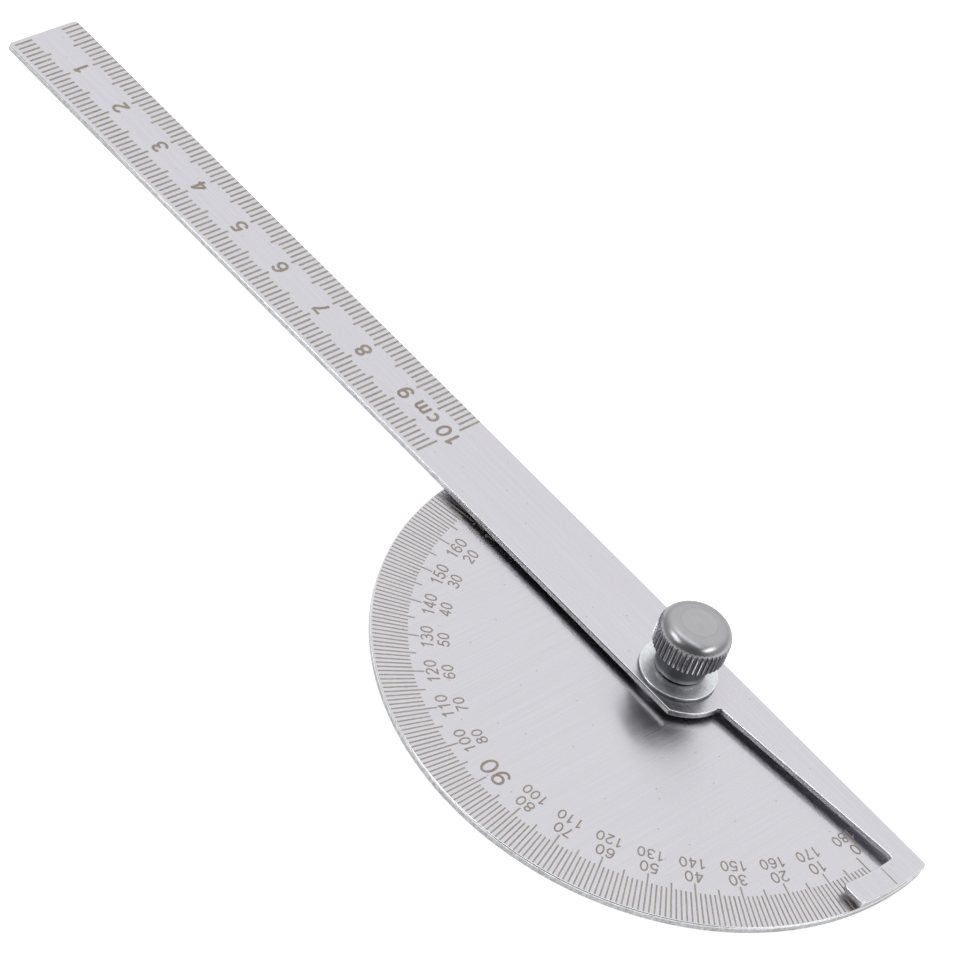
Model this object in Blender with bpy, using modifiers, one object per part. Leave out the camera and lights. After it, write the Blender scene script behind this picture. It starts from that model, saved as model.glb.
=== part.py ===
"""Half-round steel protractor with a swinging rule that a knurled nut clamps.

Units are metres and +Z is up. The origin is on the pivot axis, at the underside that the tool
rests on. The rule points along +X, and the half disc with the degree scale lies on the +Y side.
"""

from math import asin, cos, degrees, radians, sin, sqrt

import bmesh
import bpy

MM = 0.001
COLLECTION = "protractor"

# Head plate: a half disc, cut straight under the outer edge of the blade.
HEAD_RADIUS = 45.35 * MM
HEAD_THICKNESS = 1.2 * MM

# Blade: a 14 mm strip that narrows to a neck past the boss and turns down to an index pointer.
BLADE_WIDTH = 14.0 * MM
BLADE_THICKNESS = 1.0 * MM
BLADE_BOTTOM = 1.95 * MM
BLADE_REACH = 151.85 * MM
BLADE_CORNER = 0.9 * MM
BOSS_RADIUS = 8.65 * MM
BOSS_END_Y = 0.5 * MM
NICK_DEPTH = 0.35 * MM
NECK_ROOT = (-9.2 * MM, -0.25 * MM)
NECK_TIP = (-41.2 * MM, -3.35 * MM)
NECK_FILLET = 0.5 * MM
POINTER_INNER = 41.7 * MM
POINTER_OUTER = 45.6 * MM
POINTER_END = 6.85 * MM
POINTER_ROUND = 0.8 * MM
POINTER_CORNER = 0.5 * MM
SHEET_EDGE = 0.12 * MM

# Stud: M5 shank with a thin head let into the underside of the head plate.
SHANK_RADIUS = 2.5 * MM
SHANK_TOP = 10.2 * MM
SHANK_CHAMFER = 0.4 * MM
STUD_HEAD_RADIUS = 4.0 * MM
STUD_HEAD_THICKNESS = 0.55 * MM

# Spacer between head plate and blade.
SPACER_RADIUS = 6.0 * MM
SPACER_HOLE = 2.65 * MM

# Loose washer under the knob: its wide hole lets it sit off centre.
WASHER_RADIUS = 5.95 * MM
WASHER_HOLE = 3.2 * MM
WASHER_THICKNESS = 0.55 * MM
WASHER_EDGE = 0.15 * MM
WASHER_OFFSET = (-0.28 * MM, 0.55 * MM)

# Knob: a smooth collar below a straight-knurled head, with a blind bore for the stud.
COLLAR_RADIUS = 3.95 * MM
COLLAR_CHAMFER = 0.4 * MM
BORE_CHAMFER = 0.25 * MM
KNOB_RADIUS = 5.6 * MM
KNOB_HEAD_BOTTOM = 7.7 * MM
KNOB_TOP = 13.0 * MM
KNOB_FILLET = 2.65 * MM
KNOB_LOWER_CHAMFER = 0.3 * MM
FACING_RADIUS = 2.8 * MM
FACING_DEPTH = 0.06 * MM
BORE_RADIUS = 2.58 * MM
BORE_STRAIGHT_TOP = 10.7 * MM
BORE_TIP = 12.0 * MM
KNURL_TEETH = 46
KNURL_DEPTH = 0.26 * MM

# Clearances between the stacked pieces and round the shank.
STACK_GAP = 0.04 * MM
FIT_GAP = 0.05 * MM

ARC_STEP = 2.5
KNOB_STEPS = 72
ROUND_STEPS = 48
MERGE = 1e-6


def clear_scene():
    for existing in list(bpy.data.objects):
        bpy.data.objects.remove(existing, do_unlink=True)


def new_collection(name):
    collection = bpy.data.collections.new(name)
    bpy.context.scene.collection.children.link(collection)
    return collection


def steel(name, colour, roughness):
    """A bare or plated metal surface."""
    material = bpy.data.materials.new(name)
    material.use_nodes = True
    shader = material.node_tree.nodes["Principled BSDF"]
    shader.inputs["Base Color"].default_value = (*colour, 1.0)
    shader.inputs["Metallic"].default_value = 1.0
    shader.inputs["Roughness"].default_value = roughness
    return material


def arc(radius, start, end, centre=(0.0, 0.0), step=ARC_STEP):
    """Points along a circular arc, with both ends, for angles in degrees."""
    count = max(2, round(abs(end - start) / step))
    angles = [radians(start + (end - start) * i / count) for i in range(count + 1)]
    return [(centre[0] + radius * cos(a), centre[1] + radius * sin(a)) for a in angles]


def circle(radius, steps=ROUND_STEPS):
    return arc(radius, 0.0, 360.0, step=360.0 / steps)[:-1]


def shade(mesh, sharp_angle):
    """Smooth shading that keeps the edges steeper than the angle crisp."""
    mesh.shade_smooth()
    mesh.set_sharp_from_angle(angle=radians(sharp_angle))


def extruded_mesh(name, outlines, thickness):
    """The closed mesh of a flat shape: its first outline is the rim, and the others are holes."""
    curve = bpy.data.curves.new(name, "CURVE")
    curve.dimensions = "2D"
    curve.fill_mode = "BOTH"
    curve.extrude = thickness / 2
    for outline in outlines:
        spline = curve.splines.new("POLY")
        spline.points.add(len(outline) - 1)
        for point, (x, y) in zip(spline.points, outline):
            point.co = (x, y, 0.0, 1.0)
        spline.use_cyclic_u = True
    guide = bpy.data.objects.new(name + "_outline", curve)
    bpy.context.scene.collection.objects.link(guide)
    evaluated = guide.evaluated_get(bpy.context.evaluated_depsgraph_get())
    mesh = bpy.data.meshes.new_from_object(evaluated)
    bpy.data.objects.remove(guide, do_unlink=True)
    bpy.data.curves.remove(curve)
    mesh.name = name

    shape = bmesh.new()
    shape.from_mesh(mesh)
    bmesh.ops.remove_doubles(shape, verts=shape.verts, dist=MERGE)
    bmesh.ops.recalc_face_normals(shape, faces=shape.faces)
    shape.to_mesh(mesh)
    shape.free()
    return mesh


def sheet_piece(name, outlines, bottom, thickness, material, collection):
    """A piece stamped from sheet metal, with its edges broken."""
    mesh = extruded_mesh(name, outlines, thickness)
    mesh.materials.append(material)
    shade(mesh, 30)
    piece = bpy.data.objects.new(name, mesh)
    piece.location.z = bottom + thickness / 2
    collection.objects.link(piece)
    bevel = piece.modifiers.new("broken_edges", "BEVEL")
    bevel.width = SHEET_EDGE
    bevel.segments = 2
    bevel.limit_method = "ANGLE"
    bevel.angle_limit = radians(50)
    return piece


def turned_piece(name, profile, closed, material, collection, steps=ROUND_STEPS):
    """A turned piece. The profile holds (radius, height) points, down the outer side first."""
    links = [(i, i + 1) for i in range(len(profile) - 1)]
    if closed:
        links.append((len(profile) - 1, 0))
    mesh = bpy.data.meshes.new(name)
    mesh.from_pydata([(radius, 0.0, height) for radius, height in profile], links, [])
    mesh.materials.append(material)
    piece = bpy.data.objects.new(name, mesh)
    collection.objects.link(piece)
    turn = piece.modifiers.new("turn", "SCREW")
    turn.axis = "Z"
    turn.angle = radians(360)
    turn.steps = steps
    turn.render_steps = steps
    turn.use_smooth_shade = True
    turn.use_merge_vertices = True
    turn.merge_threshold = MERGE
    return piece


def cut_away(piece, cutter):
    cut = piece.modifiers.new(cutter.name, "BOOLEAN")
    cut.operation = "DIFFERENCE"
    cut.solver = "EXACT"
    cut.object = cutter


def ring_profile(inner, outer, bottom, top, edge):
    """The closed section of a flat ring whose four edges are broken."""
    return [
        (inner + edge, top),
        (outer - edge, top),
        (outer, top - edge),
        (outer, bottom + edge),
        (outer - edge, bottom),
        (inner + edge, bottom),
        (inner, bottom + edge),
        (inner, top - edge),
    ]


def make_stud_recess(cutters):
    """The cutter that lets the stud's head into the underside of the head plate."""
    depth = STUD_HEAD_THICKNESS + FIT_GAP
    margin = 1.0 * MM
    bpy.ops.mesh.primitive_cylinder_add(
        vertices=ROUND_STEPS,
        radius=STUD_HEAD_RADIUS + FIT_GAP,
        depth=depth + margin,
        location=(0.0, 0.0, (depth - margin) / 2),
    )
    cutter = bpy.context.object
    cutter.name = "stud_head_recess"
    cutter.hide_render = True
    cutter.display_type = "WIRE"
    for owner in list(cutter.users_collection):
        owner.objects.unlink(cutter)
    cutters.objects.link(cutter)
    return cutter


def make_head_plate(collection, cutters):
    """The half disc, with a stepped hole that the stud's thin head sits in."""
    corner = degrees(asin(BLADE_WIDTH / 2 / HEAD_RADIUS))
    rim = arc(HEAD_RADIUS, -corner, 180 + corner)
    hole = circle(SHANK_RADIUS + FIT_GAP)
    material = steel("head_steel", (0.62, 0.61, 0.63), 0.34)
    plate = sheet_piece("head_plate", [rim, hole], 0.0, HEAD_THICKNESS, material, collection)
    cut_away(plate, make_stud_recess(cutters))
    return plate


def make_stud(collection):
    head_top = STUD_HEAD_THICKNESS
    profile = [
        (0.0, SHANK_TOP),
        (SHANK_RADIUS - SHANK_CHAMFER, SHANK_TOP),
        (SHANK_RADIUS, SHANK_TOP - SHANK_CHAMFER),
        (SHANK_RADIUS, head_top),
        (STUD_HEAD_RADIUS, head_top),
        (STUD_HEAD_RADIUS, 0.0),
        (0.0, 0.0),
    ]
    material = steel("stud_steel", (0.45, 0.45, 0.46), 0.35)
    return turned_piece("pivot_stud", profile, False, material, collection)


def make_spacer(collection):
    bottom = HEAD_THICKNESS + STACK_GAP
    top = BLADE_BOTTOM - STACK_GAP
    profile = ring_profile(SPACER_HOLE, SPACER_RADIUS, bottom, top, SHEET_EDGE)
    material = steel("spacer_steel", (0.50, 0.50, 0.51), 0.40)
    return turned_piece("spacer_washer", profile, True, material, collection)


def rounded_ruler_end():
    """The two rounded corners of the ruler end, from the outer edge to the inner one."""
    x = BLADE_REACH - BLADE_CORNER
    y = BLADE_WIDTH / 2 - BLADE_CORNER
    lower = arc(BLADE_CORNER, -90, 0, (x, -y), 15)
    return lower + arc(BLADE_CORNER, 0, 90, (x, y), 15)


def boss_and_neck():
    """The boss arc, the nick that the shear left beside it, and the neck's sloping edge."""
    start = degrees(asin(BLADE_WIDTH / 2 / BOSS_RADIUS))
    end = degrees(asin(BOSS_END_Y / BOSS_RADIUS))
    root_x, root_y = NECK_ROOT
    tip_x, tip_y = NECK_TIP
    slope = (root_y - tip_y) / (root_x - tip_x)
    return arc(BOSS_RADIUS, 180 - start, 180 - end) + [
        (root_x + 2 * NICK_DEPTH, root_y + NICK_DEPTH),
        (root_x + NICK_DEPTH, root_y),
        (root_x, root_y),
        (tip_x + NECK_FILLET, tip_y + slope * NECK_FILLET),
    ]


def pointer():
    """The index pointer: two arcs about the pivot, joined by its rounded end."""
    neck_y = NECK_TIP[1] + NECK_FILLET
    inner_x = -sqrt(POINTER_INNER**2 - neck_y**2)
    fillet = [(inner_x + 0.15 * NECK_FILLET, neck_y - 0.7 * NECK_FILLET)]

    inner_start = 180 + degrees(asin(-neck_y / POINTER_INNER))
    inner_end = 180 - degrees(asin((POINTER_END - POINTER_ROUND) / POINTER_INNER))
    inner = arc(POINTER_INNER, inner_start, inner_end)
    round_x, round_y = inner[-1]
    rounded_end = arc(POINTER_ROUND, 0, 90, (round_x - POINTER_ROUND, round_y), 18)[1:]

    corner_y = BLADE_WIDTH / 2 - POINTER_CORNER
    outer_start = 180 - degrees(asin(POINTER_END / POINTER_OUTER))
    outer_end = 180 + degrees(asin(corner_y / POINTER_OUTER))
    outer = arc(POINTER_OUTER, outer_start, outer_end)
    corner_centre = (outer[-1][0] + POINTER_CORNER, -corner_y)
    corner = arc(POINTER_CORNER, 180, 270, corner_centre, 22.5)[1:]
    return fillet + inner + rounded_end + outer + corner


def blade_outline():
    """The rim of the blade, anticlockwise from the outer corner of its ruler end."""
    return rounded_ruler_end() + boss_and_neck() + pointer()


def make_blade(collection):
    hole = circle(SHANK_RADIUS + FIT_GAP)
    material = steel("blade_steel", (0.66, 0.65, 0.67), 0.30)
    outlines = [blade_outline(), hole]
    return sheet_piece(
        "rule_blade", outlines, BLADE_BOTTOM, BLADE_THICKNESS, material, collection
    )


def washer_bottom():
    return BLADE_BOTTOM + BLADE_THICKNESS + STACK_GAP


def make_washer(collection):
    bottom = washer_bottom()
    top = bottom + WASHER_THICKNESS
    profile = ring_profile(WASHER_HOLE, WASHER_RADIUS, bottom, top, WASHER_EDGE)
    material = steel("washer_zinc", (0.50, 0.56, 0.58), 0.32)
    washer = turned_piece("flat_washer", profile, True, material, collection)
    washer.location.x, washer.location.y = WASHER_OFFSET
    return washer


def knob_profile():
    """The section of the knob: faced top, rounded shoulder, head, collar and blind bore."""
    bottom = washer_bottom() + WASHER_THICKNESS + STACK_GAP
    shoulder = (KNOB_RADIUS - KNOB_FILLET, KNOB_TOP - KNOB_FILLET)
    top = [
        (0.0, KNOB_TOP - FACING_DEPTH),
        (FACING_RADIUS - FACING_DEPTH, KNOB_TOP - FACING_DEPTH),
        (FACING_RADIUS, KNOB_TOP),
    ]
    rounded = arc(KNOB_FILLET, 90, 0, shoulder, 11.25)
    head = [
        (KNOB_RADIUS, KNOB_HEAD_BOTTOM + KNOB_LOWER_CHAMFER),
        (KNOB_RADIUS - KNOB_LOWER_CHAMFER, KNOB_HEAD_BOTTOM),
    ]
    collar = [
        (COLLAR_RADIUS, KNOB_HEAD_BOTTOM),
        (COLLAR_RADIUS, bottom + COLLAR_CHAMFER),
        (COLLAR_RADIUS - COLLAR_CHAMFER, bottom),
    ]
    bore = [
        (BORE_RADIUS + BORE_CHAMFER, bottom),
        (BORE_RADIUS, bottom + BORE_CHAMFER),
        (BORE_RADIUS, BORE_STRAIGHT_TOP),
        (0.0, BORE_TIP),
    ]
    return top + rounded + head + collar + bore


def make_knurl_cutter(cutters):
    """A ring whose toothed inside trims the knob's head down to a straight knurl."""
    valley = KNOB_RADIUS - KNURL_DEPTH
    crest = KNOB_RADIUS + 0.01 * MM
    teeth = []
    for i in range(2 * KNURL_TEETH):
        radius = crest if i % 2 else valley
        angle = radians(180.0 * i / KNURL_TEETH)
        teeth.append((radius * cos(angle), radius * sin(angle)))
    height = KNOB_TOP - KNOB_HEAD_BOTTOM + 2 * MM
    mesh = extruded_mesh("knurl_teeth", [circle(KNOB_RADIUS + 2 * MM), teeth], height)
    cutter = bpy.data.objects.new("knurl_teeth", mesh)
    cutter.location.z = (KNOB_TOP + KNOB_HEAD_BOTTOM) / 2
    cutter.hide_render = True
    cutter.display_type = "WIRE"
    cutters.objects.link(cutter)
    return cutter


def make_knob(collection, cutters):
    material = steel("knob_steel", (0.36, 0.36, 0.37), 0.28)
    knob = turned_piece("clamp_knob", knob_profile(), False, material, collection, KNOB_STEPS)
    cut_away(knob, make_knurl_cutter(cutters))
    return knob


def main():
    clear_scene()
    parts = new_collection(COLLECTION)
    cutters = new_collection(COLLECTION + "_cutters")
    make_head_plate(parts, cutters)
    make_stud(parts)
    make_spacer(parts)
    make_blade(parts)
    make_washer(parts)
    make_knob(parts, cutters)


main()
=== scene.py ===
"""The looks of the steel protractor: fine meshes, etched scales, materials, light and camera."""

from math import asin, ceil, cos, degrees, pi, radians, sin, sqrt

import bmesh
import bpy
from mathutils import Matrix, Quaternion, Vector


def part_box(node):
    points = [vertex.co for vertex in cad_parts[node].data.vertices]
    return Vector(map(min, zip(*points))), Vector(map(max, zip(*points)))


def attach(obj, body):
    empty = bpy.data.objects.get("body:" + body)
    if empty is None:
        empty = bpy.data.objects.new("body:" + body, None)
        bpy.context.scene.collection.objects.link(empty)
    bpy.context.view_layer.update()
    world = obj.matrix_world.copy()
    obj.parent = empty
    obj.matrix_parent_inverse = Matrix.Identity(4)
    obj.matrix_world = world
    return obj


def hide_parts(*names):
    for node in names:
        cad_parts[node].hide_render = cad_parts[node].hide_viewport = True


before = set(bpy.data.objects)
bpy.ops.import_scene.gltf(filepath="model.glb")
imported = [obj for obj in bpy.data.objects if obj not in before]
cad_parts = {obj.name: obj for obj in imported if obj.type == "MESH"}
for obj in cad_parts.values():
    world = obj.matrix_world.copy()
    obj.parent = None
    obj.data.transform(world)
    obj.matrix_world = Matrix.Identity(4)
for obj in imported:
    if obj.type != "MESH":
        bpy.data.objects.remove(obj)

MM = 0.001

# A distance that is taken for none.
TINY = 0.0001 * MM

# Places that come from the frame.
HEAD_LOW, HEAD_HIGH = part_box("head_plate")
BLADE_LOW, BLADE_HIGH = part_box("rule_blade")
SPACER_LOW, SPACER_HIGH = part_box("spacer_washer")
WASHER_LOW, WASHER_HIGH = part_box("flat_washer")
KNOB_LOW, KNOB_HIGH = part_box("clamp_knob")
STUD_LOW, STUD_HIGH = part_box("pivot_stud")
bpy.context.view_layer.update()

# Head plate.
HEAD_RADIUS = HEAD_HIGH.y
HEAD_HALF_WIDTH = -HEAD_LOW.y
HEAD_HOLE = 2.55 * MM
RECESS_RADIUS = 4.05 * MM
RECESS_DEPTH = 0.60 * MM

# Blade.
BLADE_HALF_WIDTH = 7.0 * MM
BLADE_CORNER = 0.9 * MM
BOSS_RADIUS = 8.65 * MM
BOSS_END_Y = 0.5 * MM
NICK_DEPTH = 0.35 * MM
NECK_ROOT = (-9.2 * MM, -0.25 * MM)
NECK_TIP = (-41.2 * MM, -3.35 * MM)
NECK_FILLET = 0.5 * MM
POINTER_INNER = 41.7 * MM
POINTER_OUTER = -BLADE_LOW.x
POINTER_END = 6.85 * MM
POINTER_ROUND = 0.8 * MM
POINTER_CORNER = 0.5 * MM

# Rolled-over edges of both sheets.
EDGE_ROUND = 0.20 * MM
EDGE_SEGMENTS = 4

# Rings.
SPACER_HOLE = 2.65 * MM
WASHER_HOLE = 3.2 * MM
RING_EDGE = 0.12 * MM
WASHER_EDGE = 1.2 * RING_EDGE
RING_STEPS = 96
WASHER_STEPS = 120

# Stud. The thread's flank is a share of its pitch, and its root is cut flat at a share of its depth.
STUD_HEAD_THICKNESS = 0.55 * MM
SHANK_RADIUS = 2.5 * MM
SHANK_CHAMFER = 0.4 * MM
END_DIMPLE_RADIUS = 0.5 * MM
END_DIMPLE_DEPTH = 0.1 * MM
THREAD_PITCH = 0.8 * MM
THREAD_DEPTH = 0.42 * MM
THREAD_START = 3.2 * MM
THREAD_FLANK = 0.44
THREAD_ROOT = 0.9
THREAD_ROWS = 10
STUD_STEPS = 72

# Knob.
COLLAR_RADIUS = 3.95 * MM
COLLAR_ROUND = 0.40 * MM
COLLAR_FILLET = 0.1 * MM
BORE_ROUND = 0.25 * MM
KNOB_RADIUS = KNOB_HIGH.x
KNOB_HEAD_BOTTOM = 7.7 * MM
KNOB_FILLET = 2.65 * MM
KNOB_LOWER_ROUND = 0.3 * MM
FACING_RADIUS = 2.8 * MM
FACING_DEPTH = 0.06 * MM
CENTRE_DOT = 0.22 * MM
CENTRE_DOT_DEPTH = 0.08 * MM
BORE_RADIUS = 2.58 * MM
BORE_STRAIGHT_TOP = 10.7 * MM
BORE_TIP = 12.0 * MM
KNURL_TEETH = 46
KNURL_DEPTH = 0.26 * MM
KNURL_HOLLOW = 2.4
KNURL_SAMPLES = 12

# Etched marks stand a hair above the steel, and each stroke of a glyph above the one before it.
MARK_RISE = 0.012 * MM
MARK_SINK = 0.006 * MM
STROKE_STEP = 0.002 * MM

# Degree scale on the head.
DEGREES = 180
DEGREE_OUTER = 45.1 * MM
DEGREE_INNER = {1: 39.85 * MM, 5: 38.85 * MM, 10: 38.2 * MM}
DEGREE_WIDTH = 0.24 * MM
OUTER_ROW = 37.05 * MM
INNER_ROW = 34.6 * MM
NINETY_ROW = 36.45 * MM
OUTER_LABEL = 1.9 * MM
INNER_LABEL = 1.8 * MM
NINETY_LABEL = 3.1 * MM
ZERO_LABEL_ANGLE = -1.5

# Centimetre scale on the rule.
RULE_MARKS = 100
RULE_ZERO = BLADE_HIGH.x
RULE_CENTRE_Y = -0.3 * MM
RULE_TICK_OUTER = 6.5 * MM
RULE_TICK_INNER = {1: 3.05 * MM, 5: 2.3 * MM}
RULE_TICK_WIDTH = 0.36 * MM
RULE_DIGIT = 2.8 * MM
RULE_DIGIT_Y = -0.35 * MM
UNIT_X = 55.1 * MM
INDEX_Y = -0.35 * MM
INDEX_START = -45.3 * MM
INDEX_END = -42.0 * MM
INDEX_WIDTH = 0.16 * MM

# Camera, solved from the object's own scales.
CAMERA_PLACE = Vector((-0.19542, 0.36603, 0.40727))
CAMERA_TARGET = Vector((0.04429, -0.00116, 0.0))
CAMERA_ROLL = 21.1
CAMERA_LENS = 150.58
SENSOR_WIDTH = 36.0
CLIP_START = 0.01

# Grain of the sheets, in noise cells to the metre, and the share of them that the wide streaks have.
GRAIN_ALONG = 60.0
GRAIN_ACROSS = 9000.0
WIDE_GRAIN = 0.18

# Pits in the sheets: cells to the metre, how dark a pit is, and where it ends, as shares of a cell.
PIT_CELLS = 140.0
PIT_SHADE = 0.6
PIT_SIZE = (0.008, 0.02)

# How deep the fine grain of a surface is, and the tearing of a cut edge.
FINE_RELIEF = 0.004 * MM
TORN_RELIEF = 0.01 * MM

# Cut edges: a polished rim above a torn band. Glints and shades multiply the edge's own colour.
# The glints are painted highlights on the polished rim; the torn band's shades are its dull speckle,
# darkened further with painted shade.
EDGE_STEEL = (0.58, 0.58, 0.59)
RIM_GLINT = 1.3
WASHER_GLINT = 2.4
RIM_ROUGHNESS = 0.20
TORN_SPECKLE_AND_SHADE = (0.56, 0.92)
TORN_ROUGHNESS = 0.46

# How bright the knob's grooves, crests, collar and facing ring are beside its top, and the land
# outside that ring beside the ring itself. All are painted light: painted shade in the grooves, on
# the collar and in the ring, and painted highlights on the crests and the land.
GROOVE_SHADE = 0.42
CREST_SHINE = 1.8
COLLAR_SHADE = 0.30
RING_SHADE = 0.86
LAND_SHINE = 1.12

# How much light turned metal keeps where it is seen edge-on.
EDGE_TINT = (0.55, 0.55, 0.57)

# Room: the azimuths and elevations of its two sides, its dim level, and what is added to that.
BACKDROP_SIDE = (298, 50)
PHOTOGRAPHER_SIDE = (118, 35)
DIM_SIDE = 0.10
ROOM_GLOW = 0.32
BACKDROP_GLOW = 0.58
WHITE = (1.0, 1.0, 1.0, 1.0)

# Floor and softboxes.
FLOOR_SIZE = 12.0
FLOOR_GAP = 0.02 * MM
FLOOR_COLOUR = (0.93, 0.93, 0.93, 1.0)
FLOOR_GLOW = 0.60
SOFTBOX_DISTANCE = 0.9


# ---------------------------------------------------------------- outlines


def oval(cx, cy, rx, ry, start, end, step=15.0):
    """Points along an upright oval, with both ends, for angles in degrees."""
    count = max(2, ceil(abs(end - start) / step))
    angles = [radians(start + (end - start) * i / count) for i in range(count + 1)]
    return [(cx + rx * cos(a), cy + ry * sin(a)) for a in angles]


def arc(radius, start, end, centre=(0.0, 0.0), step=1.0):
    """Points along a circular arc, with both ends, for angles in degrees."""
    return oval(*centre, radius, radius, start, end, step)


def circle(radius, steps=RING_STEPS):
    return arc(radius, 0.0, 360.0, step=360.0 / steps)[:-1]


def ruler_end():
    """The two rounded corners of the ruler end, from the outer edge to the inner one."""
    x = RULE_ZERO - BLADE_CORNER
    y = BLADE_HALF_WIDTH - BLADE_CORNER
    lower = arc(BLADE_CORNER, -90, 0, (x, -y), 9)
    return lower + arc(BLADE_CORNER, 0, 90, (x, y), 9)


def boss_and_neck():
    """The boss arc, the nick that the shear left beside it, and the neck's sloping edge."""
    start = degrees(asin(BLADE_HALF_WIDTH / BOSS_RADIUS))
    end = degrees(asin(BOSS_END_Y / BOSS_RADIUS))
    root_x, root_y = NECK_ROOT
    tip_x, tip_y = NECK_TIP
    slope = (root_y - tip_y) / (root_x - tip_x)
    return arc(BOSS_RADIUS, 180 - start, 180 - end) + [
        (root_x + 2 * NICK_DEPTH, root_y + NICK_DEPTH),
        (root_x + NICK_DEPTH, root_y),
        (root_x, root_y),
        (tip_x + NECK_FILLET, tip_y + slope * NECK_FILLET),
    ]


def pointer():
    """The index pointer: two arcs about the pivot, joined by its rounded end."""
    neck_y = NECK_TIP[1] + NECK_FILLET
    inner_x = -sqrt(POINTER_INNER**2 - neck_y**2)
    fillet_middle = (inner_x + 0.15 * NECK_FILLET, neck_y - 0.7 * NECK_FILLET)

    inner_start = 180 + degrees(asin(-neck_y / POINTER_INNER))
    inner_end = 180 - degrees(asin((POINTER_END - POINTER_ROUND) / POINTER_INNER))
    inner = arc(POINTER_INNER, inner_start, inner_end)
    round_x, round_y = inner[-1]
    rounded_end = arc(POINTER_ROUND, 0, 90, (round_x - POINTER_ROUND, round_y), 10)[1:]

    corner_y = BLADE_HALF_WIDTH - POINTER_CORNER
    outer_start = 180 - degrees(asin(POINTER_END / POINTER_OUTER))
    outer_end = 180 + degrees(asin(corner_y / POINTER_OUTER))
    outer = arc(POINTER_OUTER, outer_start, outer_end)
    corner_centre = (outer[-1][0] + POINTER_CORNER, -corner_y)
    corner = arc(POINTER_CORNER, 180, 270, corner_centre, 15)[1:]
    return [fillet_middle] + inner + rounded_end + outer + corner


def head_outline():
    corner = degrees(asin(HEAD_HALF_WIDTH / HEAD_RADIUS))
    return arc(HEAD_RADIUS, -corner, 180 + corner)


# ---------------------------------------------------------------- meshes


def new_piece(name, mesh, body, slot, *nodes):
    """A piece of the object that rides on a body and stands for CAD nodes."""
    piece = bpy.data.objects.new(name, mesh)
    bpy.context.scene.collection.objects.link(piece)
    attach(piece, body)
    if nodes:
        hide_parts(*nodes)
    return piece


def finished_mesh(name, shape):
    """A mesh made from a bmesh, with its faces pointing out."""
    bmesh.ops.recalc_face_normals(shape, faces=shape.faces)
    mesh = bpy.data.meshes.new(name)
    shape.to_mesh(mesh)
    shape.free()
    return mesh


def is_flat(face):
    """Whether a face lies level, as the top and the underside of a sheet do."""
    return abs(face.normal.z) > 0.99


def shade(mesh, sharp_angle):
    """Smooth shading that keeps the edges steeper than the angle crisp."""
    mesh.shade_smooth()
    mesh.set_sharp_from_angle(angle=radians(sharp_angle))


def rolled_section(bottom, top, step_in=0.0, step_height=0.0):
    """The section of a sheet's edge as (inset, height) points, from its top face to its bottom one.

    Where step_in is given, the wall steps back by that much below step_height.
    """
    r = EDGE_ROUND
    upper = arc(r, 90, 180, (r, top - r), 90 / EDGE_SEGMENTS)
    lower = arc(r, 180, 270, (step_in + r, bottom + r), 90 / EDGE_SEGMENTS)
    step = [(0.0, step_height), (step_in, step_height)] if step_in else []
    return upper + step + lower


def sheet_mesh(name, edges, face_material, edge_material):
    """A flat sheet from pairs of an outline and its edge's section: the rim, and then the holes."""
    shape = bmesh.new()
    top_loops, bottom_loops = [], []
    for index, (outline, section) in enumerate(edges):
        # The metal lies to the left of the rim, and to the right of a hole's edge.
        metal_side = 0 if index == 0 else 1
        rows = []
        for inset, height in section:
            shifted = ribbon_sides(outline, 2 * inset, True)[metal_side]
            rows.append([shape.verts.new((p.x, p.y, height)) for p in shifted])
        for upper, lower in zip(rows, rows[1:]):
            bridge_rows(shape, upper, lower, len(outline))
        top_loops += loop_edges(shape, rows[0])
        bottom_loops += loop_edges(shape, rows[-1])
    for loops in (top_loops, bottom_loops):
        bmesh.ops.triangle_fill(shape, edges=loops, use_beauty=True)

    mesh = finished_mesh(name, shape)
    mesh.materials.append(face_material)
    mesh.materials.append(edge_material)
    shade(mesh, sharp_angle=35)
    for face in mesh.polygons:
        face.material_index = 0 if is_flat(face) else 1
        face.use_smooth = not is_flat(face)
    return mesh


def loop_edges(shape, row):
    """The edges of a closed row of vertices."""
    return [shape.edges.get((row[i - 1], row[i])) for i in range(len(row))]


def turned_mesh(name, profile, steps, radius_at=None):
    """A turned shape: (radius, height) points, down the outer side first, with both ends closed.

    radius_at(radius, height, angle), where given, replaces the radius at each angle.
    """
    shape = bmesh.new()
    rows = []
    for radius, height in profile:
        if radius < TINY:
            rows.append([shape.verts.new((0.0, 0.0, height))])
            continue
        row = []
        for i in range(steps):
            angle = 2 * pi * i / steps
            r = radius_at(radius, height, angle) if radius_at else radius
            row.append(shape.verts.new((r * cos(angle), r * sin(angle), height)))
        rows.append(row)
    loops = list(zip(rows, rows[1:]))
    if len(rows[0]) > 1 and len(rows[-1]) > 1:
        loops.append((rows[-1], rows[0]))
    for upper, lower in loops:
        bridge_rows(shape, upper, lower, steps)
    return finished_mesh(name, shape)


def bridge_rows(shape, upper, lower, steps):
    """Faces between two closed rows of vertices, where a row of one vertex is a pole."""
    for i in range(steps):
        j = (i + 1) % steps
        corners = [
            upper[i % len(upper)],
            lower[i % len(lower)],
            lower[j % len(lower)],
            upper[j % len(upper)],
        ]
        unique = list(dict.fromkeys(corners))
        if len(unique) > 2:
            shape.faces.new(unique)


def ring_profile(inner, outer, bottom, top, edge):
    """The closed section of a flat ring with rounded edges."""
    return (
        arc(edge, 90, 0, (outer - edge, top - edge), 22.5)
        + arc(edge, 0, -90, (outer - edge, bottom + edge), 22.5)
        + arc(edge, -90, -180, (inner + edge, bottom + edge), 22.5)
        + arc(edge, 180, 90, (inner + edge, top - edge), 22.5)
    )


# ---------------------------------------------------------------- etched marks

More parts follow.
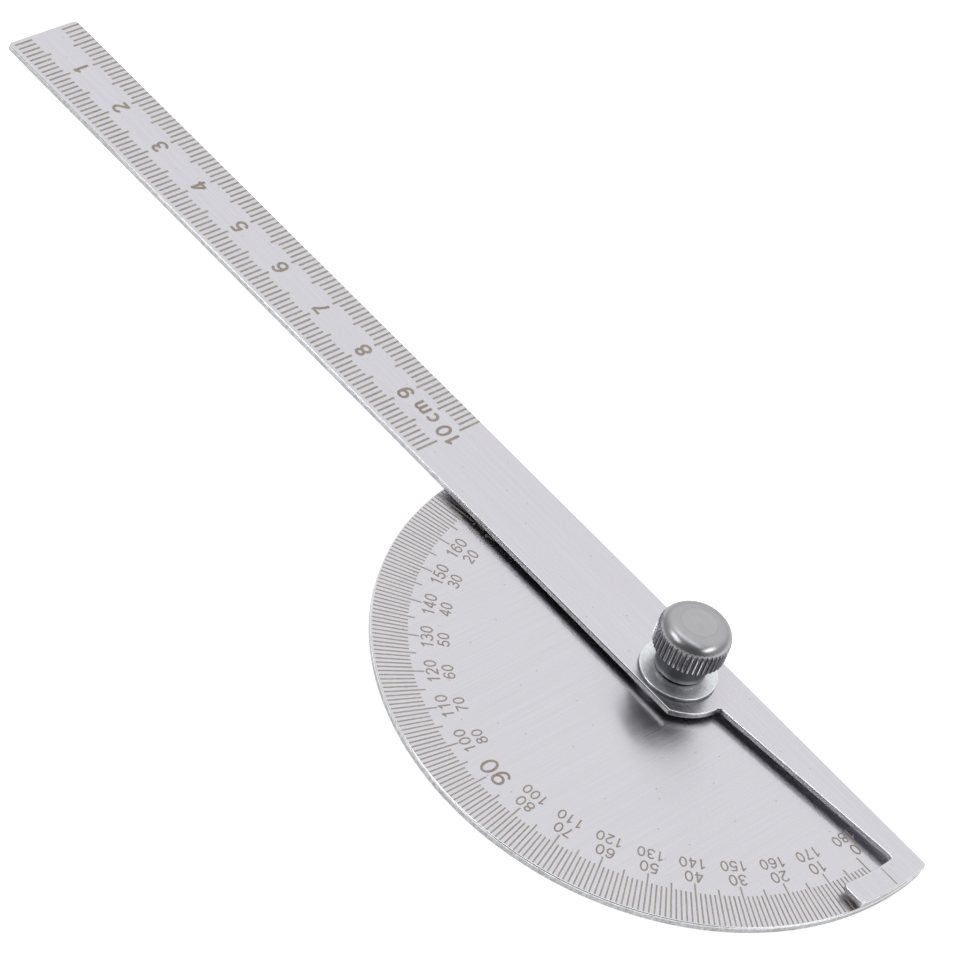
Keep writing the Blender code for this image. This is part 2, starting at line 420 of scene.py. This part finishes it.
# Glyphs are strokes on a box one unit high. A closed stroke repeats its first point.
RULE_STROKE = 0.175
HEAD_STROKE = 0.13
DIGIT_WIDTH = 0.64
GLYPH_GAP = 0.14

# The least cosine that a stroke's corner is mitred with, so that a sharp one doesn't stick out.
MITRE_LIMIT = 0.6


def glyph_six():
    return [
        oval(0.32, 0.32, 0.25, 0.26, 180, 540),
        oval(0.35, 0.50, 0.28, 0.44, 38, 190),
    ]


def glyph_nine():
    return [[(DIGIT_WIDTH - x, 1.0 - y) for x, y in stroke] for stroke in glyph_six()]


GLYPHS = {
    "0": [oval(0.32, 0.5, 0.26, 0.44, 0, 360)],
    "1": [[(0.14, 0.74), (0.27, 0.81), (0.38, 0.93)], [(0.41, 0.0), (0.41, 1.0)]],
    "2": [
        oval(0.32, 0.69, 0.25, 0.25, 170, -38) + [(0.10, 0.09)],
        [(0.04, 0.06), (0.60, 0.06)],
    ],
    "3": [
        oval(0.30, 0.73, 0.22, 0.21, 165, -90) + [(0.22, 0.52)],
        oval(0.31, 0.30, 0.27, 0.24, 85, -165),
    ],
    "4": [
        [(0.45, 0.0), (0.45, 1.0)],
        [(0.41, 0.93), (0.07, 0.33)],
        [(0.02, 0.28), (0.63, 0.28)],
    ],
    "5": [
        [(0.56, 0.94), (0.14, 0.94)],
        [(0.17, 0.90), (0.10, 0.46)],
        oval(0.31, 0.33, 0.27, 0.27, 145, -165),
    ],
    "6": glyph_six(),
    "7": [[(0.05, 0.94), (0.60, 0.94)], [(0.55, 0.90), (0.38, 0.58), (0.27, 0.28), (0.23, 0.0)]],
    "8": [oval(0.32, 0.74, 0.21, 0.20, 0, 360), oval(0.32, 0.29, 0.26, 0.235, 0, 360)],
    "9": glyph_nine(),
    "c": [oval(0.30, 0.36, 0.24, 0.30, 48, 312)],
    "m": [
        [(0.07, 0.0), (0.07, 0.72)],
        oval(0.245, 0.46, 0.165, 0.20, 170, 0) + [(0.41, 0.0)],
        oval(0.585, 0.46, 0.165, 0.20, 170, 0) + [(0.75, 0.0)],
    ],
}
LETTER_WIDTH = {"m": 0.82, "c": 0.58}


def glyph_width(letter):
    return LETTER_WIDTH.get(letter, DIGIT_WIDTH)


def text_width(text, height):
    widths = [glyph_width(letter) for letter in text]
    return (sum(widths) + GLYPH_GAP * (len(text) - 1)) * height


def ribbon_sides(points, width, closed):
    """The left and the right side of a stroke that follows the points."""
    left, right = [], []
    count = len(points)
    for i, point in enumerate(points):
        before = points[(i - 1) % count] if closed or i else point
        after = points[(i + 1) % count] if closed or i < count - 1 else point
        into = (Vector(point) - Vector(before)).normalized()
        out = (Vector(after) - Vector(point)).normalized()
        along = (into + out).normalized()
        normal = Vector((-along.y, along.x))
        mitre = max(MITRE_LIMIT, along.dot(out if out.length else into))
        offset = normal * (width / 2 / mitre)
        left.append(Vector(point) + offset)
        right.append(Vector(point) - offset)
    return left, right


def add_stroke(shape, points, width, bottom, top):
    """A closed thin prism along the points, added to the bmesh."""
    closed = len(points) > 3 and (Vector(points[0]) - Vector(points[-1])).length < TINY
    if closed:
        points = points[:-1]
    left, right = ribbon_sides(points, width, closed)
    rows = []
    for a, b in zip(left, right):
        corners = [(a, bottom), (b, bottom), (b, top), (a, top)]
        rows.append([shape.verts.new((p.x, p.y, z)) for p, z in corners])
    pairs = list(zip(rows, rows[1:]))
    if closed:
        pairs.append((rows[-1], rows[0]))
    else:
        shape.faces.new(rows[0])
        shape.faces.new(rows[-1][::-1])
    for first, second in pairs:
        for k in range(4):
            m = (k + 1) % 4
            shape.faces.new([first[k], second[k], second[m], first[m]])


def add_text(shape, text, height, centre, turn, stroke_width, bottom, top):
    """Strokes of the text, centred on a point and turned by an angle in degrees."""
    c, s = cos(radians(turn)), sin(radians(turn))
    x = -text_width(text, height) / 2
    for letter in text:
        for layer, stroke in enumerate(GLYPHS[letter]):
            placed = []
            for u, v in stroke:
                px, py = x + u * height, (v - 0.5) * height
                placed.append((centre[0] + px * c - py * s, centre[1] + px * s + py * c))
            add_stroke(shape, placed, stroke_width * height, bottom, top + layer * STROKE_STEP)
        x += (glyph_width(letter) + GLYPH_GAP) * height


def mark_piece(name, shape, material, body, slot):
    mesh = finished_mesh(name, shape)
    mesh.materials.append(material)
    new_piece(name, mesh, body, slot)


def on_scale(angle, radius):
    """The point of the degree scale at an angle that is counted from the pointer's side."""
    return -radius * cos(radians(angle)), radius * sin(radians(angle))


def step_of(count):
    """10, 5 or 1: the coarsest division that a mark stands on."""
    return next(step for step in (10, 5, 1) if count % step == 0)


def add_degree_ticks(shape, bottom, top):
    for degree in range(DEGREES + 1):
        inner = on_scale(degree, DEGREE_INNER[step_of(degree)])
        outer = on_scale(degree, DEGREE_OUTER)
        add_stroke(shape, [inner, outer], DEGREE_WIDTH, bottom, top)


def add_degree_labels(shape, bottom, top):
    for ten in range(0, DEGREES + 1, 10):
        degree = ZERO_LABEL_ANGLE if ten == 0 else ten
        turn = 90 - degree
        if degree == 90:
            place = on_scale(90, NINETY_ROW)
            add_text(shape, "90", NINETY_LABEL, place, turn, HEAD_STROKE, bottom, top)
            continue
        outer = on_scale(degree, OUTER_ROW)
        inner = on_scale(degree, INNER_ROW)
        add_text(shape, str(ten), OUTER_LABEL, outer, turn, HEAD_STROKE, bottom, top)
        add_text(shape, str(DEGREES - ten), INNER_LABEL, inner, turn, HEAD_STROKE, bottom, top)


def make_head_marks(tick_material, label_material):
    bottom, top = HEAD_HIGH.z - MARK_SINK, HEAD_HIGH.z + MARK_RISE
    ticks = bmesh.new()
    add_degree_ticks(ticks, bottom, top)
    mark_piece("degree_ticks", ticks, tick_material, "head", "head_steel")
    labels = bmesh.new()
    add_degree_labels(labels, bottom, top)
    mark_piece("degree_labels", labels, label_material, "head", "head_steel")


def add_rule_ticks(shape, bottom, top):
    for count in range(1, RULE_MARKS + 1):
        x = RULE_ZERO - count * MM
        inner = RULE_TICK_INNER[min(5, step_of(count))]
        for side in (-1, 1):
            points = [(x, RULE_CENTRE_Y + side * inner), (x, RULE_CENTRE_Y + side * RULE_TICK_OUTER)]
            add_stroke(shape, points, RULE_TICK_WIDTH, bottom, top)


def add_rule_labels(shape, bottom, top):
    for number in range(1, RULE_MARKS // 10 + 1):
        centre = (RULE_ZERO - number * 10 * MM, RULE_DIGIT_Y)
        add_text(shape, str(number), RULE_DIGIT, centre, 0, RULE_STROKE, bottom, top)
    unit_centre = (UNIT_X + text_width("cm", RULE_DIGIT) / 2, RULE_DIGIT_Y)
    add_text(shape, "cm", RULE_DIGIT, unit_centre, 0, RULE_STROKE, bottom, top)


def make_rule_marks(tick_material, label_material):
    bottom, top = BLADE_HIGH.z - MARK_SINK, BLADE_HIGH.z + MARK_RISE
    ticks = bmesh.new()
    add_rule_ticks(ticks, bottom, top)
    mark_piece("rule_ticks", ticks, tick_material, "blade", "blade_steel")
    labels = bmesh.new()
    add_rule_labels(labels, bottom, top)
    add_stroke(labels, [(INDEX_START, INDEX_Y), (INDEX_END, INDEX_Y)], INDEX_WIDTH, bottom, top)
    mark_piece("rule_labels", labels, label_material, "blade", "blade_steel")


# ---------------------------------------------------------------- materials


def new_material(name):
    material = bpy.data.materials.new(name)
    material.use_nodes = True
    return material, material.node_tree


def add_node(tree, kind, **inputs):
    """A node with its inputs set: a socket is linked, and anything else is a value."""
    node = tree.nodes.new(kind)
    for key, value in inputs.items():
        socket = node.inputs[key.replace("_", " ")]
        if isinstance(value, bpy.types.NodeSocket):
            tree.links.new(value, socket)
        else:
            socket.default_value = value
    return node


def stretched_noise(tree, scale, detail=3.0):
    """Noise in object space, stretched along the axis with the smallest scale."""
    place = add_node(tree, "ShaderNodeTexCoord").outputs["Object"]
    mapping = add_node(tree, "ShaderNodeMapping", Vector=place)
    mapping.inputs["Scale"].default_value = scale
    noise = add_node(tree, "ShaderNodeTexNoise", Vector=mapping.outputs[0], Scale=1.0, Detail=detail)
    return noise.outputs["Fac"]


def map_range(tree, value, low, high, from_low=0.3, from_high=0.7):
    """A socket's values stretched over a new range; noise lies mostly between 0.3 and 0.7."""
    node = add_node(tree, "ShaderNodeMapRange", Value=value)
    node.inputs["From Min"].default_value = from_low
    node.inputs["From Max"].default_value = from_high
    node.inputs["To Min"].default_value = low
    node.inputs["To Max"].default_value = high
    return node.outputs["Result"]


def combined(tree, operation, first, second):
    """The sum or the product of two sockets."""
    node = add_node(tree, "ShaderNodeMath")
    node.operation = operation
    tree.links.new(first, node.inputs[0])
    tree.links.new(second, node.inputs[1])
    return node.outputs[0]


def blended(tree, factor, low, high):
    """A level between two others, at a factor from 0 to 1; each is a value or a socket."""
    return add_node(tree, "ShaderNodeMix", Factor=factor, A=low, B=high).outputs["Result"]


def axis_distance(tree):
    """The distance from the pivot's axis."""
    place = add_node(tree, "ShaderNodeTexCoord").outputs["Object"]
    flat = add_node(tree, "ShaderNodeVectorMath", Vector=place)
    flat.operation = "MULTIPLY"
    flat.inputs[1].default_value = (1.0, 1.0, 0.0)
    distance = add_node(tree, "ShaderNodeVectorMath")
    distance.operation = "LENGTH"
    tree.links.new(flat.outputs["Vector"], distance.inputs[0])
    return distance.outputs["Value"]


def object_height(tree):
    """The height above the surface that the tool rests on."""
    place = add_node(tree, "ShaderNodeTexCoord").outputs["Object"]
    return add_node(tree, "ShaderNodeSeparateXYZ", Vector=place).outputs["Z"]


def add_bump(tree, shader, height, strength, distance):
    """Fine relief on the surface, as high as a socket says."""
    bump = add_node(tree, "ShaderNodeBump", Height=height, Strength=strength, Distance=distance)
    tree.links.new(bump.outputs["Normal"], shader.inputs["Normal"])


def tinted(tree, colour, factor):
    """The colour times a factor socket."""
    node = add_node(tree, "ShaderNodeMix")
    node.data_type = "RGBA"
    node.blend_type = "MULTIPLY"
    node.inputs["Factor"].default_value = 1.0
    node.inputs["A"].default_value = (*colour, 1.0)
    combine = add_node(tree, "ShaderNodeCombineColor", Red=factor, Green=factor, Blue=factor)
    tree.links.new(combine.outputs[0], node.inputs["B"])
    return node.outputs["Result"]


def object_direction(tree, direction):
    """A direction that is fixed to the piece, as the shader's tangent needs it."""
    node = add_node(tree, "ShaderNodeVectorTransform", Vector=direction)
    node.vector_type = "VECTOR"
    node.convert_from = "OBJECT"
    node.convert_to = "WORLD"
    return node.outputs["Vector"]


def pits(tree):
    """Sparse dark specks in a sheet's face, a fraction of a millimetre wide."""
    place = add_node(tree, "ShaderNodeTexCoord").outputs["Object"]
    cells = add_node(tree, "ShaderNodeTexVoronoi", Vector=place, Scale=PIT_CELLS)
    cells.voronoi_dimensions = "2D"
    return map_range(tree, cells.outputs["Distance"], PIT_SHADE, 1.0, *PIT_SIZE)


def uneven_roughness(tree, noise, roughness):
    """A roughness that a noise moves a little down and up."""
    return map_range(tree, noise, roughness - 0.03, roughness + 0.04)


def brushed_sheet(name, colour, roughness, grain_axis, anisotropic):
    """Brushed stainless sheet: fine straight scratches, and a smear of the reflections across them."""
    material, tree = new_material(name)
    shader = tree.nodes["Principled BSDF"]
    along, across = GRAIN_ALONG, GRAIN_ACROSS
    scale = (along, across, along) if grain_axis == "X" else (across, along, along)
    streaks = stretched_noise(tree, scale, 4.0)
    wide = stretched_noise(tree, tuple(s * WIDE_GRAIN for s in scale), 3.0)
    cloud = stretched_noise(tree, (45.0, 45.0, 45.0), 2.0)

    shade_fine = map_range(tree, streaks, 0.955, 1.03)
    shade_wide = map_range(tree, wide, 0.98, 1.015)
    grain = combined(tree, "MULTIPLY", shade_fine, shade_wide)
    tone = combined(tree, "MULTIPLY", grain, pits(tree))
    tree.links.new(tinted(tree, colour, tone), shader.inputs["Base Color"])

    rough = uneven_roughness(tree, streaks, roughness)
    smudge = map_range(tree, cloud, -0.015, 0.02)
    tree.links.new(combined(tree, "ADD", rough, smudge), shader.inputs["Roughness"])

    add_bump(tree, shader, wide, 0.10, FINE_RELIEF)
    shader.inputs["Metallic"].default_value = 1.0
    shader.inputs["Anisotropic"].default_value = anisotropic
    smear = (0.0, 1.0, 0.0) if grain_axis == "X" else (1.0, 0.0, 0.0)
    tree.links.new(object_direction(tree, smear), shader.inputs["Tangent"])
    return material


def sheared_edge(name, colour, bottom, top, glint=RIM_GLINT):
    """The cut edge of a sheet: a bright rolled-over rim above a dull, speckled, torn band. The rim's
    brightness is partly its polish and partly a painted highlight, and the band is darkened partly with
    painted shade.
    """
    material, tree = new_material(name)
    shader = tree.nodes["Principled BSDF"]
    wander = map_range(tree, stretched_noise(tree, (900.0, 900.0, 60.0)), -0.06, 0.06)
    share = map_range(tree, object_height(tree), 0.0, 1.0, bottom, top)
    rim_burnish_and_highlight = map_range(tree, combined(tree, "ADD", share, wander), 0.0, 1.0, 0.76, 0.86)

    torn = stretched_noise(tree, (2200.0, 2200.0, 1100.0), 4.0)
    # Painted highlight on the rim, over a torn band whose speckle is darkened with painted shade.
    level = blended(tree, rim_burnish_and_highlight, map_range(tree, torn, *TORN_SPECKLE_AND_SHADE), glint)
    tree.links.new(tinted(tree, colour, level), shader.inputs["Base Color"])

    rough = blended(tree, rim_burnish_and_highlight, TORN_ROUGHNESS, RIM_ROUGHNESS)
    tree.links.new(rough, shader.inputs["Roughness"])
    add_bump(tree, shader, torn, 0.15, TORN_RELIEF)
    shader.inputs["Metallic"].default_value = 1.0
    return material


def etched(name, colour):
    """The matt brown-grey of an electrolytic etch, a little uneven."""
    material, tree = new_material(name)
    shader = tree.nodes["Principled BSDF"]
    speckle = stretched_noise(tree, (6000.0, 6000.0, 6000.0), 4.0)
    patches = stretched_noise(tree, (400.0, 400.0, 400.0), 2.0)
    fine = map_range(tree, speckle, 0.78, 1.2)
    wide = map_range(tree, patches, 0.9, 1.1)
    tone = combined(tree, "MULTIPLY", fine, wide)
    tree.links.new(tinted(tree, colour, tone), shader.inputs["Base Color"])
    shader.inputs["Metallic"].default_value = 0.25
    shader.inputs["Roughness"].default_value = 0.62
    add_bump(tree, shader, speckle, 0.3, FINE_RELIEF)
    return material


def turned_metal(name, colour, roughness, ring_scale=0.0, spots=0.03, spot_scale=700.0, painted_light=None):
    """Turned metal with faint spots, and with fine rings about its axis where ring_scale is given.

    spots is how much lighter or darker they are; the last argument, where given, makes a socket of
    painted shade and highlights that the colour is multiplied by.
    """
    material, tree = new_material(name)
    shader = tree.nodes["Principled BSDF"]
    cloud = stretched_noise(tree, (spot_scale, spot_scale, spot_scale), 4.0)
    tone = map_range(tree, cloud, 1.0 - spots, 1.0 + spots)
    height = cloud
    if ring_scale:
        rings = add_node(tree, "ShaderNodeTexNoise", Scale=ring_scale, Detail=3.0)
        rings.noise_dimensions = "1D"
        tree.links.new(axis_distance(tree), rings.inputs["W"])
        height = rings.outputs["Fac"]
        tone = combined(tree, "MULTIPLY", tone, map_range(tree, height, 0.97, 1.03))
    if painted_light:
        tone = combined(tree, "MULTIPLY", tone, painted_light(tree))
    tree.links.new(tinted(tree, colour, tone), shader.inputs["Base Color"])
    smudge = stretched_noise(tree, (350.0, 350.0, 350.0), 3.0)
    tree.links.new(uneven_roughness(tree, smudge, roughness), shader.inputs["Roughness"])
    add_bump(tree, shader, height, 0.2, FINE_RELIEF)
    shader.inputs["Metallic"].default_value = 1.0
    shader.inputs["Specular Tint"].default_value = (*EDGE_TINT, 1.0)
    return material


def knurl_wear(tree, distance):
    """Painted shade in the grooves, and painted highlights on the crests between them."""
    groove_end, crest_start = KNOB_RADIUS - 0.15 * MM, KNOB_RADIUS - 0.03 * MM
    return map_range(tree, distance, GROOVE_SHADE, CREST_SHINE, groove_end, crest_start)


def collar_wear(tree, height):
    """Painted shade on the collar, stopping above its foot, which is left as bright as the top to
    mirror the washer.
    """
    foot_top = KNOB_LOW.z + COLLAR_ROUND
    shaded_from = foot_top + 0.8 * MM
    return map_range(tree, height, 1.0, COLLAR_SHADE, foot_top, shaded_from)


def facing_wear(tree, distance):
    """The facing tool's mark on the top, in painted light: a fine dark ring of painted shade, with a
    land of painted highlight outside it.
    """
    ring_start, ring_end = FACING_RADIUS - 0.12 * MM, FACING_RADIUS - 0.04 * MM
    ring = map_range(tree, distance, 1.0, RING_SHADE, ring_start, ring_end)
    land = map_range(tree, distance, 1.0, LAND_SHINE, FACING_RADIUS, FACING_RADIUS + 0.08 * MM)
    return combined(tree, "MULTIPLY", ring, land)


def knob_wear(tree):
    """Painted shade and highlights on the collar below the knob's head, on the knurl up to its
    shoulder, and on the top.
    """
    distance = axis_distance(tree)
    height = object_height(tree)
    collar_top = KNOB_HEAD_BOTTOM - 0.2 * MM
    on_head = map_range(tree, height, 0.0, 1.0, collar_top, KNOB_HEAD_BOTTOM)
    shoulder = KNOB_HIGH.z - KNOB_FILLET
    knurl_end, top_start = shoulder + 0.3 * MM, shoulder + 1.1 * MM
    below_top = map_range(tree, height, 1.0, 0.0, knurl_end, top_start)
    on_knurl = combined(tree, "MULTIPLY", on_head, below_top)
    plain = blended(tree, on_head, collar_wear(tree, height), 1.0)
    # Painted shade in the grooves and on the collar, and painted highlights on the crests.
    shade_and_highlight = blended(tree, on_knurl, plain, knurl_wear(tree, distance))
    return combined(tree, "MULTIPLY", shade_and_highlight, facing_wear(tree, distance))


# ---------------------------------------------------------------- pieces


def make_head_plate():
    """The half disc, with the recess under it that holds the stud's head."""
    bottom, top = HEAD_LOW.z, HEAD_HIGH.z
    colour = (0.672, 0.663, 0.702)
    face = brushed_sheet("head_steel", colour, roughness=0.24, grain_axis="Y", anisotropic=0.75)
    edge = sheared_edge("head_edge", EDGE_STEEL, bottom, top)
    recessed = rolled_section(bottom, top, RECESS_RADIUS - HEAD_HOLE, bottom + RECESS_DEPTH)
    edges = [(head_outline(), rolled_section(bottom, top)), (circle(HEAD_HOLE), recessed)]
    mesh = sheet_mesh("half_disc", edges, face, edge)
    return new_piece("half_disc", mesh, "head", "head_steel", "head_plate")


def make_blade():
    """The strip with the centimetre rule, its boss, its neck and its index pointer."""
    bottom, top = BLADE_LOW.z, BLADE_HIGH.z
    colour = (0.665, 0.655, 0.695)
    face = brushed_sheet("blade_steel", colour, roughness=0.28, grain_axis="X", anisotropic=0.6)
    edge = sheared_edge("blade_edge", EDGE_STEEL, bottom, top)
    outline = ruler_end() + boss_and_neck() + pointer()
    section = rolled_section(bottom, top)
    mesh = sheet_mesh("swing_rule", [(outline, section), (circle(HEAD_HOLE), section)], face, edge)
    return new_piece("swing_rule", mesh, "blade", "blade_steel", "rule_blade")


def make_spacer():
    profile = ring_profile(SPACER_HOLE, SPACER_HIGH.x, SPACER_LOW.z, SPACER_HIGH.z, RING_EDGE)
    mesh = turned_mesh("spacer", profile, RING_STEPS)
    steel = turned_metal("spacer_steel", (0.50, 0.50, 0.51), roughness=0.38, ring_scale=900.0)
    mesh.materials.append(steel)
    shade(mesh, sharp_angle=40)
    return new_piece("spacer", mesh, "spacer", "spacer_steel", "spacer_washer")


def make_washer():
    """The loose washer, which lies off the pivot's axis, where its CAD node is."""
    bottom, top = WASHER_LOW.z, WASHER_HIGH.z
    radius = (WASHER_HIGH.x - WASHER_LOW.x) / 2
    profile = ring_profile(WASHER_HOLE, radius, bottom, top, WASHER_EDGE)
    mesh = turned_mesh("plain_washer", profile, WASHER_STEPS)
    centre = (WASHER_LOW + WASHER_HIGH) / 2
    for vertex in mesh.vertices:
        vertex.co.x += centre.x
        vertex.co.y += centre.y
    colour = (0.83, 0.85, 0.87)
    zinc = turned_metal("washer_zinc", colour, roughness=0.42, spots=0.13, spot_scale=2400.0)
    # The washer's side is dark, partly its punched finish and partly painted shade for the gap under
    # it, below a rim with a strong painted highlight.
    edge = sheared_edge("washer_edge", (0.35, 0.365, 0.38), bottom, top, WASHER_GLINT)
    mesh.materials.append(zinc)
    mesh.materials.append(edge)
    for face in mesh.polygons:
        face.material_index = 0 if is_flat(face) else 1
    shade(mesh, sharp_angle=40)
    return new_piece("plain_washer", mesh, "washer", "washer_zinc", "flat_washer")


def thread_radius(radius, height, angle):
    """The shank's radius where a right-hand thread runs round it."""
    if height < THREAD_START or radius < SHANK_RADIUS - TINY:
        return radius
    phase = (height / THREAD_PITCH - angle / (2 * pi)) % 1.0
    groove = max(0.0, 1.0 - abs(phase - 0.5) / THREAD_FLANK)
    fade_in = min(1.0, (height - THREAD_START) / THREAD_PITCH)
    return radius - THREAD_DEPTH * min(groove, THREAD_ROOT) / THREAD_ROOT * fade_in


def make_stud():
    """The stud: its dimpled end, threaded shank, plain shank and flush head."""
    head_top = STUD_LOW.z + STUD_HEAD_THICKNESS
    head_radius = STUD_HIGH.x
    top = STUD_HIGH.z
    threaded = top - SHANK_CHAMFER - THREAD_START
    rows = round(threaded / THREAD_PITCH * THREAD_ROWS)
    shank = [(SHANK_RADIUS, THREAD_START + threaded * (rows - i) / rows) for i in range(rows + 1)]
    end = [
        (0.0, top - END_DIMPLE_DEPTH),
        (END_DIMPLE_RADIUS, top),
        (SHANK_RADIUS - SHANK_CHAMFER, top),
    ]
    profile = (
        end
        + shank
        + [(SHANK_RADIUS, head_top)]
        + arc(RING_EDGE, 90, 0, (head_radius - RING_EDGE, head_top - RING_EDGE), 30)
        + [(head_radius, STUD_LOW.z), (0.0, STUD_LOW.z)]
    )
    mesh = turned_mesh("stud", profile, STUD_STEPS, thread_radius)
    steel = turned_metal("stud_steel", (0.48, 0.48, 0.49), roughness=0.32, ring_scale=1200.0)
    mesh.materials.append(steel)
    shade(mesh, sharp_angle=40)
    return new_piece("stud", mesh, "head", "stud_steel", "pivot_stud")


def knurled_radius(radius, height, angle):
    """Straight grooves between narrow ridges, which run out where the shoulder curves inside them."""
    turn = (angle * KNURL_TEETH / (2 * pi)) % 1.0
    hollow = 1.0 - (2.0 * abs(turn - 0.5)) ** KNURL_HOLLOW
    return min(radius, KNOB_RADIUS - KNURL_DEPTH * hollow)


def knob_profile():
    """The section of the knob: faced top, rounded shoulder, head, collar and blind bore."""
    bottom, top = KNOB_LOW.z, KNOB_HIGH.z
    shoulder = (KNOB_RADIUS - KNOB_FILLET, top - KNOB_FILLET)
    faced = top - FACING_DEPTH
    face = [
        (0.0, faced - CENTRE_DOT_DEPTH),
        (CENTRE_DOT, faced),
        (0.6 * FACING_RADIUS, faced),
        (FACING_RADIUS - 2 * FACING_DEPTH, faced),
        (FACING_RADIUS, top - 0.3 * FACING_DEPTH),
        (FACING_RADIUS + FACING_DEPTH, top),
    ]
    rounded = arc(KNOB_FILLET, 90, 0, shoulder, 3.0)
    side_bottom = KNOB_HEAD_BOTTOM + KNOB_LOWER_ROUND
    side = [(KNOB_RADIUS, shoulder[1] + (side_bottom - shoulder[1]) * i / 6) for i in range(1, 6)]
    under = arc(KNOB_LOWER_ROUND, 0, -90, (KNOB_RADIUS - KNOB_LOWER_ROUND, side_bottom), 15)
    collar = [
        (COLLAR_RADIUS + COLLAR_FILLET, KNOB_HEAD_BOTTOM),
        (COLLAR_RADIUS, KNOB_HEAD_BOTTOM - COLLAR_FILLET),
    ]
    foot = arc(COLLAR_ROUND, 0, -90, (COLLAR_RADIUS - COLLAR_ROUND, bottom + COLLAR_ROUND), 15)
    bore = [
        (BORE_RADIUS + BORE_ROUND, bottom),
        (BORE_RADIUS, bottom + BORE_ROUND),
        (BORE_RADIUS, BORE_STRAIGHT_TOP),
        (0.0, BORE_TIP),
    ]
    return face + rounded + side + under + collar + foot + bore


def make_knob():
    mesh = turned_mesh("knurled_knob", knob_profile(), KNURL_TEETH * KNURL_SAMPLES, knurled_radius)
    colour = (0.455, 0.45, 0.47)
    # The knob carries painted shade in its grooves, on its collar and in its facing ring, and painted
    # highlights on its crests.
    steel = turned_metal("knob_steel", colour, roughness=0.29, ring_scale=700.0, painted_light=knob_wear)
    mesh.materials.append(steel)
    shade(mesh, sharp_angle=50)
    return new_piece("knurled_knob", mesh, "knob", "knob_steel", "clamp_knob")


# ---------------------------------------------------------------- studio


def make_floor():
    """A plain pale floor, which glows a little so that it renders white."""
    height = HEAD_LOW.z - FLOOR_GAP
    bpy.ops.mesh.primitive_plane_add(size=FLOOR_SIZE, location=(0.0, 0.0, height))
    floor = bpy.context.object
    floor.name = "floor"
    material, tree = new_material("floor_pale")
    shader = tree.nodes["Principled BSDF"]
    shader.inputs["Base Color"].default_value = FLOOR_COLOUR
    shader.inputs["Roughness"].default_value = 0.9
    shader.inputs["Specular IOR Level"].default_value = 0.1
    shader.inputs["Emission Color"].default_value = WHITE
    shader.inputs["Emission Strength"].default_value = FLOOR_GLOW
    floor.data.materials.append(material)


def direction_of(azimuth, elevation):
    """The unit vector towards a compass azimuth from +X and an elevation, in degrees."""
    a, e = radians(azimuth), radians(elevation)
    return Vector((cos(a) * cos(e), sin(a) * cos(e), sin(e)))


def lobe(tree, side, outer, inner, far, near):
    """A level that goes smoothly from far to near round a side of the room.

    side is an azimuth and an elevation; outer and inner are cosines of the angle from it.
    """
    towards = add_node(tree, "ShaderNodeTexCoord").outputs["Generated"]
    facing = add_node(tree, "ShaderNodeVectorMath", Vector=towards)
    facing.operation = "DOT_PRODUCT"
    facing.inputs[1].default_value = direction_of(*side)
    level = map_range(tree, facing.outputs["Value"], far, near, outer, inner)
    level.node.interpolation_type = "SMOOTHSTEP"
    return level


def make_world():
    """A white room: bright behind the object, as a backdrop is, and dim round the photographer."""
    world = bpy.data.worlds.new("studio")
    bpy.context.scene.world = world
    world.use_nodes = True
    tree = world.node_tree
    bright = DIM_SIDE + BACKDROP_GLOW
    backdrop = lobe(tree, BACKDROP_SIDE, outer=0.35, inner=0.82, far=DIM_SIDE, near=bright)
    room = lobe(tree, PHOTOGRAPHER_SIDE, outer=0.30, inner=0.85, far=ROOM_GLOW, near=0.0)
    background = tree.nodes["Background"]
    tree.links.new(combined(tree, "ADD", backdrop, room), background.inputs["Strength"])
    background.inputs["Color"].default_value = WHITE
    bpy.context.scene.view_settings.view_transform = "Standard"


def add_softbox(name, azimuth, elevation, width, height, radiance, tint=(1.0, 1.0, 1.0)):
    """A rectangular area light that faces the pivot and that the camera doesn't see.

    Its power follows from its radiance, so that a larger softbox is as bright to look at.
    """
    light = bpy.data.lights.new(name, "AREA")
    light.shape = "RECTANGLE"
    light.size = width
    light.size_y = height
    light.energy = radiance * pi * width * height
    light.color = tint
    lamp = bpy.data.objects.new(name, light)
    bpy.context.scene.collection.objects.link(lamp)
    place = direction_of(azimuth, elevation) * SOFTBOX_DISTANCE
    lamp.location = place
    lamp.rotation_mode = "QUATERNION"
    lamp.rotation_quaternion = (-place).to_track_quat("-Z", "Y")
    lamp.visible_camera = False


def make_camera():
    camera = bpy.data.objects.new("camera", bpy.data.cameras.new("camera"))
    bpy.context.scene.collection.objects.link(camera)
    camera.location = CAMERA_PLACE
    look = (CAMERA_TARGET - CAMERA_PLACE).to_track_quat("-Z", "Y")
    camera.rotation_mode = "QUATERNION"
    camera.rotation_quaternion = look @ Quaternion((0.0, 0.0, 1.0), radians(CAMERA_ROLL))
    camera.data.lens = CAMERA_LENS
    camera.data.sensor_width = SENSOR_WIDTH
    camera.data.clip_start = CLIP_START
    bpy.context.scene.camera = camera


make_head_plate()
make_blade()
make_spacer()
make_washer()
make_stud()
make_knob()
light_etch = etched("light_etch", (0.40, 0.365, 0.32))
deep_etch = etched("deep_etch", (0.36, 0.31, 0.265))
make_head_marks(light_etch, deep_etch)
make_rule_marks(light_etch, deep_etch)

make_floor()
make_world()
add_softbox("softbox_left", azimuth=60, elevation=44, width=0.46, height=0.17, radiance=5.0)
add_softbox("softbox_right", azimuth=191, elevation=40, width=0.46, height=0.20, radiance=3.6)
cool = (0.86, 0.93, 1.0)
add_softbox("strip_above", azimuth=90, elevation=83, width=1.10, height=0.13, radiance=2.0, tint=cool)
make_camera()
